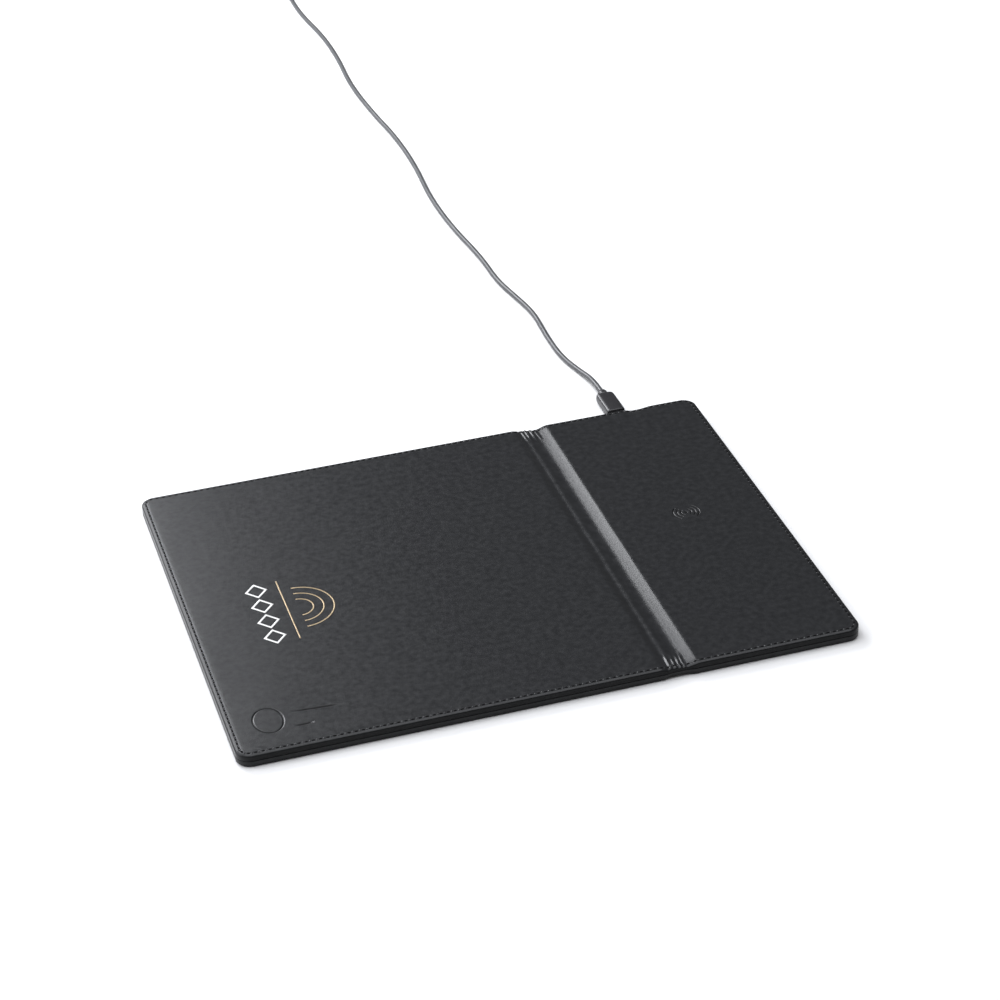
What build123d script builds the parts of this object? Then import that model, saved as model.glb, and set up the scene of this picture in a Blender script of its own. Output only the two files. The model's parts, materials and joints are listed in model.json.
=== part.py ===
from build123d import *
import os
from math import pi, radians, tan

# Folding mouse pad with a wireless charging panel, in millimetres.
# X runs along the long side, +Y to the back edge where the cable plugs in, +Z up, z = 0 on the desk.

# Whole pad
pad_length = 300.0
pad_width = 230.0
pad_height = 6.4
corner_radius = 7.0
seam_height = pad_height / 2
rim_radius = 1.0
half_length = pad_length / 2
half_width = pad_width / 2

# Fold channel between the two panels
mouse_edge_x = 51.5
charger_edge_x = 67.7
fold_middle_x = (mouse_edge_x + charger_edge_x) / 2
hinge_offset = 3.5
strip_thickness = 2.0
strip_radius = strip_thickness / 2
strip_end_inset = 0.7
flange_gap = 0.1
mouse_hinge_x = fold_middle_x - hinge_offset
charger_hinge_x = fold_middle_x + hinge_offset
mouse_flange_x = mouse_hinge_x - strip_radius - flange_gap
charger_flange_x = charger_hinge_x + strip_radius + flange_gap

# Sheets
cover_thickness = 0.8
seam_gap = 0.1
board_top = 3.6
foam_top = pad_height - cover_thickness
filling_inset = cover_thickness + 0.2
stitch_inset = 2.2
stitch_width = 0.6
stitch_depth = 0.4

# Charging electronics
charge_x = 108.5
coil_y = 8.0
tray_floor_top = 1.6
tray_wall = 1.2
lid_bottom = 4.0
lid_top = 4.8
ferrite_side = 52.0
ferrite_thickness = 0.8
adhesive_thickness = 0.1
coil_outer_radius = 24.0
coil_inner_radius = 10.5
coil_thickness = 1.3
sensor_radius = 1.6
sensor_height = 1.2
board_width = 44.0
board_front_y = 50.0
board_back_y = 112.5
board_bottom = 2.1
board_thickness = 0.8
rail_width = 2.0
rail_inset = 2.0
lead_radius = 0.38
lead_offset = 3.0
lead_front_y = coil_y + coil_outer_radius - 0.6
lead_back_y = board_front_y + 3.0

# USB-C socket and plug, both centred on the seam height
socket_width = 8.96
socket_height = 3.16
socket_wall = 0.2
socket_front_y = 107.0
socket_back_y = half_width - cover_thickness
socket_insert_length = 1.5
tongue_width = 6.6
tongue_thickness = 0.7
tongue_length = 4.6
socket_round = 1.3
port_width = 9.8
port_height = 3.8
plug_shell_width = 8.25
plug_shell_height = 2.4
plug_shell_wall = 0.3
plug_shell_round = 1.1
contact_block_length = 2.6
plug_shell_tip_y = 109.6
plug_front_y = half_width + 2.2
plug_width = 10.2
plug_height = 5.9
plug_length = 20.3
plug_edge_radius = 2.6
plug_end_radius = 0.7
neck_length = 8.5
neck_base_radius = 2.8
neck_end_radius = 2.1

# Cable
cord_diameter = 3.0
cord_radius = cord_diameter / 2
cord_length = 1000.0
rest_z = cord_radius + 0.05
exit_y = plug_front_y + plug_length + neck_length
corner_share = 0.45

# Put-away coil of the cable, behind the pad: two turns side by side and a third on top
coil_middle_radius = 16.75
coil_outer_turn = coil_middle_radius + 1.6
coil_half_band = coil_outer_turn - coil_middle_radius + cord_radius
coil_height = 6.4
coil_x = 103.5
coil_centre_y = 786.0
coil_turns = 3.25
coil_entry_drop = 10.0
coil_section_radius = 1.4

# USB-A plug on the cable's far end
usb_a_width = 12.0
usb_a_height = 4.5
usb_a_length = 13.0
usb_a_wall = 0.35
usb_a_grip_width = 16.0
usb_a_grip_height = 8.0
usb_a_grip_length = 22.0
usb_a_grip_radius = 2.0
usb_a_neck_length = 14.0
usb_a_neck_end_radius = 2.1
usb_a_neck_base_radius = 3.4

# Cable between the coil's last turn and that plug
tail_hidden = 6.0
tail_length = 16.0

# Tie round the coil
tie_width = 5.0
tie_wall = 0.6
tie_gap = 0.3


def box_between(low, high):
    """A box from its lowest to its highest corner."""
    size = [b - a for a, b in zip(low, high)]
    centre = [(a + b) / 2 for a, b in zip(low, high)]
    return Pos(*centre) * Box(*size)


# Each panel's outer end, the edge and the flange it turns to the fold, and the way outwards
sides = {
    "mouse": (-half_length, mouse_edge_x, mouse_flange_x, -1),
    "charger": (half_length, charger_edge_x, charger_flange_x, 1),
}


def panel_block(side, inset, fold_x, z_low, z_high):
    """A flat block over one panel, set in from its three outer sides, with its outer corners rounded."""
    end_x, _, _, outwards = sides[side]
    outer_x = end_x - outwards * inset
    x_low, x_high = sorted((outer_x, fold_x))
    y_half = half_width - inset
    block = box_between((x_low, -y_half, z_low), (x_high, y_half, z_high))
    upright = block.edges().filter_by(Axis.Z).filter_by_position(Axis.X, outer_x - 0.01, outer_x + 0.01)
    return fillet(upright, corner_radius - inset)


def cover(side, top):
    """One half of a panel's wrap: a sheet with its rim turned to the seam and a flange at the fold."""
    _, edge_x, flange_x, outwards = sides[side]
    up = 1 if top else -1
    flat_z = seam_height + up * seam_height
    seam_z = seam_height + up * seam_gap / 2
    panel = panel_block(side, 0, flange_x, min(flat_z, seam_z), max(flat_z, seam_z))
    slope = Polyline(
        (edge_x, 0, flat_z),
        (flange_x, 0, seam_height + up * strip_radius),
        (flange_x - outwards, 0, seam_height + up * strip_radius),
        (flange_x - outwards, 0, flat_z + up),
        (edge_x, 0, flat_z + up),
        close=True,
    )
    panel = panel - extrude(make_face(slope), amount=pad_width, dir=(0, 1, 0), both=True)
    rim = panel.edges().filter_by_position(Axis.Z, flat_z - 0.01, flat_z + 0.01)
    outer_rim = [edge for edge in rim if abs(edge.center().X - edge_x) > 1]
    panel = fillet(ShapeList(outer_rim), rim_radius)
    inner_z = flat_z - up * cover_thickness
    hollow_edge = edge_x + outwards * cover_thickness
    return panel - panel_block(side, cover_thickness, hollow_edge, min(inner_z, seam_z), max(inner_z, seam_z))


def stitch_band(side):
    """The row of perimeter thread as one flat band along the three outer sides of a panel."""
    _, edge_x, _, outwards = sides[side]
    bottom = pad_height - stitch_depth
    outer = panel_block(side, stitch_inset - stitch_width / 2, edge_x + outwards, bottom, pad_height)
    inner = panel_block(side, stitch_inset + stitch_width / 2, edge_x - outwards, bottom - 1, pad_height + 1)
    return outer - inner


def filling(side, inset, z_low, z_high):
    """A sheet over one panel, set in by the same distance on all four sides."""
    _, edge_x, _, outwards = sides[side]
    return panel_block(side, inset, edge_x + outwards * inset, z_low, z_high)


def half_strip(top):
    """Half the thickness of the fold strip, with round long edges centred on the two hinge lines."""
    y_half = half_width - strip_end_inset
    strip = box_between((mouse_hinge_x, -y_half, seam_height - strip_radius),
                        (charger_hinge_x, y_half, seam_height + strip_radius))
    for hinge_x in (mouse_hinge_x, charger_hinge_x):
        strip = strip + Pos(hinge_x, 0, seam_height) * Rot(90, 0, 0) * Cylinder(strip_radius, 2 * y_half)
    low = seam_height if top else 0
    kept = box_between((mouse_edge_x, -half_width, low), (charger_edge_x, half_width, low + seam_height))
    return strip & kept


def bar_at_port(width, height, radius, y_low, y_high):
    """A bar along Y through the port's middle, with a rounded rectangular section."""
    start = Plane(origin=(charge_x, y_low, seam_height), x_dir=(1, 0, 0), z_dir=(0, 1, 0))
    return extrude(start * RectangleRounded(width, height, radius), amount=y_high - y_low)


def box_at_port(width, height, y_low, y_high):
    """A plain box along Y through the port's middle."""
    return box_between((charge_x - width / 2, y_low, seam_height - height / 2),
                       (charge_x + width / 2, y_high, seam_height + height / 2))


def write(node, shape):
    """One STEP file for one node."""
    shape.label = node
    export_step(shape, f"parts/{node}.step")


os.makedirs("parts", exist_ok=True)

# Covers, with the thread's groove and the port opening cut in them
port = box_at_port(port_width, port_height, socket_back_y - 1, half_width + 1)
mouse_stitching = stitch_band("mouse")
charger_stitching = stitch_band("charger")
write("mouse_top_cover", cover("mouse", True) - mouse_stitching)
write("mouse_bottom_cover", cover("mouse", False))
write("charger_top_cover", cover("charger", True) - charger_stitching - port)
write("charger_bottom_cover", cover("charger", False) - port)
write("mouse_stitching", mouse_stitching)
write("charger_stitching", charger_stitching)

# Filling of the mouse panel
write("mouse_board", filling("mouse", filling_inset, cover_thickness, board_top))
write("mouse_foam", filling("mouse", filling_inset, board_top, foam_top))

# Fold strip
write("fold_strip_top", half_strip(True))
write("fold_strip_bottom", half_strip(False))

# Tray, lid and foam of the charging panel
socket_room = box_at_port(socket_width, socket_height, socket_front_y, half_width)
tray = filling("charger", filling_inset, cover_thickness, lid_bottom)
tray = tray - filling("charger", filling_inset + tray_wall, tray_floor_top, lid_bottom)
for rail_side in (-1, 1):
    rail_x = charge_x + rail_side * (board_width - rail_width) / 2
    tray = tray + box_between((rail_x - rail_width / 2, board_front_y + rail_inset, tray_floor_top),
                              (rail_x + rail_width / 2, board_back_y - rail_inset, board_bottom))
write("charger_tray", tray - socket_room)
write("charger_lid", filling("charger", filling_inset, lid_bottom, lid_top) - socket_room)
write("charger_foam", filling("charger", filling_inset, lid_top, foam_top))


def coil_ring(radius_out, radius_in, z_low, z_high):
    """A flat ring centred on the charging spot."""
    height = z_high - z_low
    ring = Cylinder(radius_out, height) - Cylinder(radius_in, height)
    return Pos(charge_x, coil_y, (z_low + z_high) / 2) * ring


# Coil stack on the tray's floor
ferrite_top = tray_floor_top + ferrite_thickness
coil_bottom = ferrite_top + adhesive_thickness
half_ferrite = ferrite_side / 2
write("ferrite_sheet", box_between((charge_x - half_ferrite, coil_y - half_ferrite, tray_floor_top),
                                   (charge_x + half_ferrite, coil_y + half_ferrite, ferrite_top)))
write("coil_adhesive", coil_ring(coil_outer_radius, coil_inner_radius, ferrite_top, coil_bottom))
transmit_coil = coil_ring(coil_outer_radius, coil_inner_radius, coil_bottom, coil_bottom + coil_thickness)
write("transmit_coil", transmit_coil)
bead = Cylinder(sensor_radius, sensor_height)
bead = fillet(bead.edges().group_by(Axis.Z)[-1], sensor_radius / 4)
write("temperature_sensor", Pos(charge_x, coil_y, ferrite_top + sensor_height / 2) * bead)

# Driver board, slotted round the socket
board_top_z = board_bottom + board_thickness
board = box_between((charge_x - board_width / 2, board_front_y, board_bottom),
                    (charge_x + board_width / 2, board_back_y, board_top_z))
write("circuit_board", board - socket_room)


def chips(size, places):
    """Blocks of one size standing on the driver board, at places measured from its front middle."""
    blocks = []
    for x, y in places:
        middle = Pos(charge_x + x, board_front_y + y, board_top_z + size[2] / 2)
        blocks.append(middle * Box(*size))
    return Compound(children=blocks)


write("controller_chip", chips((6.0, 6.0, 0.8), [(0, 28)]))
write("power_transistors", chips((3.2, 3.2, 0.85), [(x, 14) for x in (-7.5, -2.5, 2.5, 7.5)]))
write("resonant_capacitors", chips((3.2, 1.6, 1.0), [(x, y) for x in (-15, -10.5) for y in (5, 8, 11)]))
write("filter_inductor", chips((5.0, 5.0, 1.05), [(12, 42)]))
leads = []
for lead_side in (-1, 1):
    lead_plane = Plane(origin=(charge_x + lead_side * lead_offset, lead_front_y, board_top_z + lead_radius),
                       z_dir=(0, 1, 0))
    lead = extrude(lead_plane * Circle(lead_radius), amount=lead_back_y - lead_front_y)
    leads.append(lead - transmit_coil)
write("coil_leads", Compound(children=leads))

# Socket
socket_hollow = (socket_width - 2 * socket_wall, socket_height - 2 * socket_wall, socket_round - socket_wall)
socket_shell = bar_at_port(socket_width, socket_height, socket_round, socket_front_y, socket_back_y)
write("usb_socket_shell", socket_shell - bar_at_port(*socket_hollow, socket_front_y, socket_back_y))
insert_end_y = socket_front_y + socket_insert_length
tongue = box_at_port(tongue_width, tongue_thickness, insert_end_y, insert_end_y + tongue_length)
write("usb_socket_tongue", bar_at_port(*socket_hollow, socket_front_y, insert_end_y) + tongue)

# Plug in the socket
plug_hollow = (plug_shell_width - 2 * plug_shell_wall, plug_shell_height - 2 * plug_shell_wall,
               plug_shell_round - plug_shell_wall)
plug_section = (plug_shell_width, plug_shell_height, plug_shell_round)
plug_shell = bar_at_port(*plug_section, plug_shell_tip_y, plug_front_y)
write("plug_shell", plug_shell - bar_at_port(*plug_hollow, plug_shell_tip_y, plug_front_y))
write("plug_contact_block", bar_at_port(*plug_hollow, plug_front_y - contact_block_length, plug_front_y))
plug_back_y = plug_front_y + plug_length
grip = bar_at_port(plug_width, plug_height, plug_edge_radius, plug_front_y, plug_back_y)
grip_ends = grip.edges().group_by(Axis.Y)
write("plug_overmould", fillet(grip_ends[0] + grip_ends[-1], plug_end_radius))


def tapered_neck(start, direction, radius_at_start, radius_at_end, length):
    """A round strain relief between a plug's grip and the cable."""
    first = Plane(origin=start, z_dir=direction)
    return loft([first * Circle(radius_at_start), first.offset(length) * Circle(radius_at_end)])


write("plug_strain_relief", tapered_neck((charge_x, plug_back_y, seam_height), (0, 1, 0),
                                         neck_base_radius, neck_end_radius, neck_length))

# Cable: the route of its centre line from the plug's neck to the put-away coil
coil_entry_x = coil_x - coil_outer_turn
route = [
    (charge_x, exit_y, seam_height),
    (charge_x, 156.5, seam_height),
    (105.3, 172.0, rest_z),
    (101.2, 190.0, rest_z),
    (101.0, 216.0, rest_z),
    (102.6, 243.0, rest_z),
    (98.8, 266.0, rest_z),
    (94.6, 289.0, rest_z),
    (94.5, 321.0, rest_z),
    (89.6, 364.0, rest_z),
    (88.4, 409.0, rest_z),
    (92.2, 456.0, rest_z),
    (92.0, 502.0, rest_z),
    (87.5, 548.0, rest_z),
    (85.6, 596.0, rest_z),
    (89.0, 641.0, rest_z),
    (88.6, 684.0, rest_z),
    (84.2, 722.0, rest_z),
    (83.6, 752.0, rest_z),
    (coil_entry_x, coil_centre_y - coil_entry_drop, rest_z),
]


def corner_radii(points):
    """The arc at each inner point of a route: as large as its two runs allow."""
    radii = []
    for before, here, after in zip(points, points[1:], points[2:]):
        run_in = Vector(*here) - Vector(*before)
        run_out = Vector(*after) - Vector(*here)
        turn = run_in.get_angle(run_out)
        radii.append(corner_share * min(run_in.length, run_out.length) / tan(radians(turn) / 2))
    return radii


radii = corner_radii(route)
print("route radii", [round(radius) for radius in radii])
cord_path = FilletPolyline(*route, radius=radii)
cord_start = Plane(origin=route[0], z_dir=Vector(*route[1]) - Vector(*route[0]))
cord = sweep(cord_start * Circle(cord_radius), path=cord_path)
print("cord tube length", round(cord_path.length, 1), "volume", round(cord.volume, 1),
      "section x length", round(pi * cord_radius ** 2 * cord_path.length, 1))
write("cord", cord)

# The coil's outer shape on the desk, with a slot under it for the tie
coil_section = Plane(origin=(coil_x - coil_middle_radius, coil_centre_y, coil_height / 2), x_dir=(1, 0, 0),
                     z_dir=(0, -1, 0)) * RectangleRounded(2 * coil_half_band, coil_height,
                                                           coil_section_radius)
coil_band = revolve(coil_section, axis=Axis((coil_x, coil_centre_y, 0), (0, 0, 1)))
tie_x = coil_x + coil_middle_radius


def box_at_tie(x_half, y_half, z_low, z_high):
    """A box across the coil's band at the tie."""
    return box_between((tie_x - x_half, coil_centre_y - y_half, z_low),
                       (tie_x + x_half, coil_centre_y + y_half, z_high))


tie_room = coil_half_band + tie_gap
tie_reach = tie_room + tie_wall
coil_top = coil_height + tie_gap
write("cable_tie", box_at_tie(tie_reach, tie_width / 2, 0, coil_top + tie_wall)
      - box_at_tie(tie_room, tie_width, tie_wall, coil_top))
write("cord_coil", coil_band - box_at_tie(tie_reach + tie_wall, tie_width / 2 + tie_gap, -1, tie_wall + tie_gap))

# Last stretch of cable from the coil's top turn to the USB-A plug beside it
tail_y = coil_centre_y + coil_outer_turn
tail_z = usb_a_grip_height / 2
tail_start_x = coil_x + tail_hidden
tail_end_x = coil_x + tail_length
to_plug = (1, 0, 0)
tail = extrude(Plane(origin=(tail_start_x, tail_y, tail_z), z_dir=to_plug) * Circle(cord_radius),
               amount=tail_end_x - tail_start_x)
write("cord_tail", tail - coil_band)
write("usb_a_strain_relief", tapered_neck((tail_end_x, tail_y, tail_z), to_plug, usb_a_neck_end_radius,
                                          usb_a_neck_base_radius, usb_a_neck_length))
grip_start_x = tail_end_x + usb_a_neck_length
grip_end_x = grip_start_x + usb_a_grip_length
usb_a_grip = box_between((grip_start_x, tail_y - usb_a_grip_width / 2, 0),
                         (grip_end_x, tail_y + usb_a_grip_width / 2, usb_a_grip_height))
write("usb_a_overmould", fillet(usb_a_grip.edges().filter_by(Axis.X), usb_a_grip_radius))


def usb_a_block(inset, z_low, z_high):
    """A block along the USB-A plug's metal end, set in from both its sides."""
    y_half = usb_a_width / 2 - inset
    tip_x = grip_end_x + usb_a_length
    return box_between((grip_end_x, tail_y - y_half, z_low), (tip_x, tail_y + y_half, z_high))


usb_a_low = tail_z - usb_a_height / 2
usb_a_high = tail_z + usb_a_height / 2
usb_a_hollow = usb_a_block(usb_a_wall, usb_a_low + usb_a_wall, usb_a_high - usb_a_wall)
write("usb_a_shell", usb_a_block(0, usb_a_low, usb_a_high) - usb_a_hollow)
write("usb_a_insert", usb_a_block(usb_a_wall, usb_a_low + usb_a_wall, tail_z))

coil_length = 2 * pi * coil_turns * coil_middle_radius
whole_length = cord_path.length + coil_entry_drop + coil_length + tail_length
print("whole cable", round(whole_length, 1), "wanted", cord_length)
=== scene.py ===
import bpy
import bmesh
import json
from math import atan2, ceil, copysign, cos, exp, hypot, pi, radians, sin
from mathutils import Matrix, Vector, noise


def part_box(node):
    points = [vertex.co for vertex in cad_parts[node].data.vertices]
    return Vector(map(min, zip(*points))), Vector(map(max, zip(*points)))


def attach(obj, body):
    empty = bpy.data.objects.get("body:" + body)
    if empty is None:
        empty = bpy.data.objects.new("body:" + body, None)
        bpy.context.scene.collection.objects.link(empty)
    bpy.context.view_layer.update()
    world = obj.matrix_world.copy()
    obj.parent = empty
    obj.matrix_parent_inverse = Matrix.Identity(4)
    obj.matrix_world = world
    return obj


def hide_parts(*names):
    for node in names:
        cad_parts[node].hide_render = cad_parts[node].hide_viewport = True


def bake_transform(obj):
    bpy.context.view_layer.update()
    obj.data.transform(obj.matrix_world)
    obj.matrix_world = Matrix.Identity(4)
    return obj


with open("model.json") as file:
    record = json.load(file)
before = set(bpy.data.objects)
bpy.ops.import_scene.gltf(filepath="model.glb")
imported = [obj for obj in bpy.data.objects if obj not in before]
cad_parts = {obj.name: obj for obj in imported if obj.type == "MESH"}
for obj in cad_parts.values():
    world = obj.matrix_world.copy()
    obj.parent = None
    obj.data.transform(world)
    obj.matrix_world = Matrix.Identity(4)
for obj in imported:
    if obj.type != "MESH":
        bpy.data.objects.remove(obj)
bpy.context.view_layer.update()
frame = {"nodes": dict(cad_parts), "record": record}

# Folding leather mouse pad with a charging panel. Places are in the frame's own axes.
# The camera, the lights and the cable are in metres. The pad and the functions that make its meshes are in
# millimetres, up to mesh_object, which turns them into metres.
MM = 0.001


def camera_turn(azimuth, pitch, roll):
    """A camera's turn: azimuth to the right of +Y, pitch below the horizon, and a roll to the right."""
    level = Matrix.Rotation(-azimuth, 4, "Z") @ Matrix.Rotation(pi / 2 - pitch, 4, "X")
    return level @ Matrix.Rotation(-roll, 4, "Z")


camera_place = (-0.3065, -1.0937, 0.7540)
camera_azimuth = radians(16.06)
camera_pitch = radians(32.11)
camera_roll = radians(2.12)


def make_camera():
    """A long lens at the photograph's viewing angle, slightly rolled."""
    data = bpy.data.cameras.new("camera")
    data.lens = 100
    data.sensor_width = 36
    data.clip_end = 20
    camera = bpy.data.objects.new("camera", data)
    bpy.context.collection.objects.link(camera)
    turn = camera_turn(camera_azimuth, camera_pitch, camera_roll)
    camera.matrix_world = Matrix.Translation(camera_place) @ turn
    bpy.context.scene.camera = camera


make_camera()

# Cable: the same route as the frame's cord, then the put-away coil and the stretch to the far plug
cord_radius = 1.5 * MM
cord_rest = 1.55 * MM
exit_height = 3.2 * MM
cord_route = [
    (0.1085, 0.1460, exit_height),
    (0.1085, 0.1565, exit_height),
    (0.1053, 0.1720, cord_rest),
    (0.1012, 0.1900, cord_rest),
    (0.1010, 0.2160, cord_rest),
    (0.1026, 0.2430, cord_rest),
    (0.0988, 0.2660, cord_rest),
    (0.0946, 0.2890, cord_rest),
    (0.0945, 0.3210, cord_rest),
    (0.0896, 0.3640, cord_rest),
    (0.0884, 0.4090, cord_rest),
    (0.0922, 0.4560, cord_rest),
    (0.0920, 0.5020, cord_rest),
    (0.0875, 0.5480, cord_rest),
    (0.0856, 0.5960, cord_rest),
    (0.0890, 0.6410, cord_rest),
    (0.0886, 0.6840, cord_rest),
    (0.0842, 0.7220, cord_rest),
    (0.0836, 0.7520, cord_rest),
    (0.08515, 0.7760, cord_rest),
]
coil_middle = Vector((0.1035, 0.7860, 0))
coil_radius = 16.75 * MM
turn_offset = 1.6 * MM
points_per_turn = 16
coil_turns = 3.25
top_turn_height = 4.25 * MM
last_turn_height = 4.6 * MM
tail_reaches = (6 * MM, 11 * MM)


def coil_points():
    """Control points of the coil: an outer and an inner turn on the floor, and one more resting on both.

    A station is a number of turns, with the coil's radius and the cord's height there.
    """
    stations = [
        (0, coil_radius + turn_offset, cord_rest),
        (0.85, coil_radius + turn_offset, cord_rest),
        (1.15, coil_radius - turn_offset, cord_rest),
        (1.85, coil_radius - turn_offset, cord_rest),
        (2.15, coil_radius, top_turn_height),
        (2.85, coil_radius, top_turn_height),
        (3.15, coil_radius + turn_offset, last_turn_height),
        (coil_turns, coil_radius + turn_offset, last_turn_height),
    ]
    points = []
    for index in range(int(coil_turns * points_per_turn) + 1):
        turn = index / points_per_turn
        before, after = next((a, b) for a, b in zip(stations, stations[1:]) if turn <= b[0])
        share = (turn - before[0]) / (after[0] - before[0])
        share = share * share * (3 - 2 * share)
        radius = before[1] + share * (after[1] - before[1])
        height = before[2] + share * (after[2] - before[2])
        angle = pi - 2 * pi * turn
        control_radius = radius / cos(pi / points_per_turn)
        outwards = Vector((cos(angle), sin(angle), 0))
        points.append(coil_middle + outwards * control_radius + Vector((0, 0, height)))
    return points


def make_cord(jacket):
    """The cable from the plug's neck to the far plug's neck, as one smooth curve."""
    tail_end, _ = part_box("usb_a_strain_relief")
    tail_low, tail_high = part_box("cord_tail")
    tail_y = (tail_low.y + tail_high.y) / 2
    tail_z = (tail_low.z + tail_high.z) / 2
    tail = [
        (coil_middle.x + tail_reaches[0], tail_y, last_turn_height),
        (coil_middle.x + tail_reaches[1], tail_y, tail_z),
        (tail_end.x, tail_y, tail_z),
    ]
    points = [Vector(p) for p in cord_route] + coil_points()[1:] + [Vector(p) for p in tail]
    data = bpy.data.curves.new("cord_line", "CURVE")
    data.dimensions = "3D"
    spline = data.splines.new("NURBS")
    spline.points.add(len(points) - 1)
    for control, point in zip(spline.points, points):
        control.co = (*point, 1)
    spline.order_u = 3
    spline.use_endpoint_u = True
    spline.resolution_u = 8
    data.bevel_depth = cord_radius
    data.bevel_resolution = 6
    data.materials.append(jacket)
    cord = bpy.data.objects.new("cord_jacket", data)
    bpy.context.collection.objects.link(cord)
    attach(cord, "cable")
    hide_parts("cord", "cord_coil", "cord_tail")


# The pad's outline, seam and fold, from the frame
mouse_low, mouse_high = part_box("mouse_top_cover")
charger_low, charger_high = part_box("charger_top_cover")
strip_low, strip_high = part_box("fold_strip_top")
left_x = mouse_low.x / MM
right_x = charger_high.x / MM
half_width = mouse_high.y / MM
half_height = strip_low.z / MM
fold_x = (strip_low.x + strip_high.x) / 2 / MM
corner_radius = 7.0
leather_thickness = 0.45

# A cover's rim, from the seam up the wall and over the stitched groove to the flat face, on the top (1) and
# on the underside (-1): how far in from the outline, and how far from the seam's plane
seam_lip = [(0.55, 0.02), (0.22, 0.04), (0.07, 0.12), (0.0, 0.30)]
rim_profiles = {
    1: seam_lip + [
        (0.0, 2.15), (0.05, 2.42), (0.18, 2.64), (0.42, 2.82), (0.78, 2.97), (1.15, 3.07), (1.52, 3.12),
        (1.86, 3.12), (2.2, 3.10), (2.6, 3.13), (3.2, 3.165), (4.0, 3.185), (5.2, 3.195),
        (corner_radius, half_height),
    ],
    -1: seam_lip + [
        (0.0, 2.30), (0.04, 2.60), (0.14, 2.84), (0.34, 3.02), (0.62, 3.12), (1.0, 3.17), (1.4, 3.18),
        (1.86, 3.17), (2.2, 3.15), (2.55, 3.17), (3.0, 3.19), (3.6, 3.20), (5.0, 3.20),
        (corner_radius, half_height),
    ],
}
rim_steps = len(rim_profiles[1]) - 1
# How matt the rim's rounded edge is, how strongly painted shade darkens and dulls the top cover's front wall,
# and over which heights and insets they stop
rim_matt = 0.6
# Painted shade: the top cover's wall that faces the front is darkened and dulled more than the other walls.
front_wall_painted_shade = 0.9
wall_top = (2.4, 2.9)
edge_end = (1.3, 1.9)
# The stitches' place in the groove: how far in from the outline, and how far from the seam's plane
stitch_inset = 2.2
stitch_floor = 3.07

# The fold's channel across the pad: place along X, and the height of the top and of the underside there
channel_top = [
    (47.0, 6.40), (49.0, 6.40), (50.2, 6.26), (51.2, 5.92), (52.2, 5.44), (53.1, 5.13), (53.7, 5.05),
    (54.4, 5.12), (55.2, 5.23), (55.9, 5.27), (56.6, 5.14), (57.4, 4.90), (58.4, 4.67), (59.6, 4.50),
    (60.6, 4.45), (61.5, 4.53), (62.5, 4.76), (63.5, 5.04), (64.5, 5.33), (65.5, 5.63), (66.4, 5.91),
    (67.1, 6.13), (67.6, 6.28), (68.1, 6.38), (68.9, 6.43), (70.0, 6.41), (73.0, 6.40),
]
channel_under = [
    (47.0, 0.0), (50.6, 0.0), (52.4, 1.15), (54.5, 1.25), (58.0, 1.0), (59.6, 0.85), (62.0, 0.55),
    (66.0, 0.05), (68.0, 0.0), (73.0, 0.0),
]
# Small pleats at the channel's back (1) and front (-1) ends: place along X and height
pleat_places = {
    1: [(54.0, 0.50), (56.1, 0.50), (58.9, 0.60), (61.5, 0.35)],
    -1: [(54.5, 0.55), (57.1, 0.60), (59.4, 0.55), (61.4, 0.45)],
}
pleat_width = 0.62
pleat_lean = 0.8
pleat_zone = (51, 64)
# The channel's line wanders a little, and it grows shallower towards its ends
channel_wander = 0.25
wander_length = 22
wander_slice = 3.1
channel_ends = (101, 109)
lean_ends = (100, 112)
end_fill = 0.2
end_fill_fades = (59, 63)
# How far the ends of the channel are pulled in, between a rising and a falling stretch along X
channel_pull_in = 0.6
pull_in_spans = ((51, 56), (62, 67))
pull_in_reach = 9

# Soft swell of the leather away from the edges: height, length of a wave and place in the noise
swells = [(0.08, 42, 0.4), (0.015, 13, 7.7)]
swell_starts = (4, 14)

# The back edge at the charging port: the opening, the rise of the leather over it and the dip beside it
port_low, port_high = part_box("usb_socket_shell")
port_x = (port_low.x + port_high.x) / 2 / MM
port_half_wide = 4.9
port_half_high = 1.9
port_lip = 1.2
port_rise = 0.3
port_rise_width = 4.2
port_rise_starts = (104, 112)
dip_spans = ((111, 116.5), (118, 128))
dip_starts = (1, 9)
dip_pull_in = 0.9
dip_depth = 0.35

# Pressed marks: a dot with arcs over the coil, and a ring with two bars in the front left corner
wireless_mark = (107.5, 8.4)
wireless_dot = 0.55
wireless_arcs = (2.6, 4.6, 6.6)
wireless_half_angle = radians(48)
ring_mark = (-130.8, -91.8)
ring_radius = 6.9
ring_stretch = 1.36
bar_marks = [((-121.0, -88.4), (-94.2, -90.4)), ((-120.5, -99.6), (-110.5, -99.5))]
bar_width = 0.7
bar_fades = 0.4
mark_width = 0.3
mark_depth = 0.28

# Printed mark: a row of white diamonds, a gold line and gold half circles
print_middle = (-99.0, -8.0)
print_lift = 0.03
print_thickness = 0.06
diamond_column = -13.5
diamond_rows = (-20.1, -6.7, 6.7, 20.1)
diamond_outside = (5.6, 6.2)
diamond_inside = (4.2, 4.7)
gold_line_column = -2.5
gold_line_half_length = 25.5
gold_line_half_width = 0.35
half_circle_column = 3
half_circle_radii = (17, 12, 7)
half_circle_half_width = 0.38


def step(low, high, value):
    """0 below low, 1 above high, and a smooth rise between them."""
    share = min(max((value - low) / (high - low), 0), 1)
    return share * share * (3 - 2 * share)


def hump(spans, value):
    """0, a smooth rise to 1 over the first span, and a smooth fall back to 0 over the second."""
    rise, fall = spans
    return step(*rise, value) * (1 - step(*fall, value))


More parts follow.
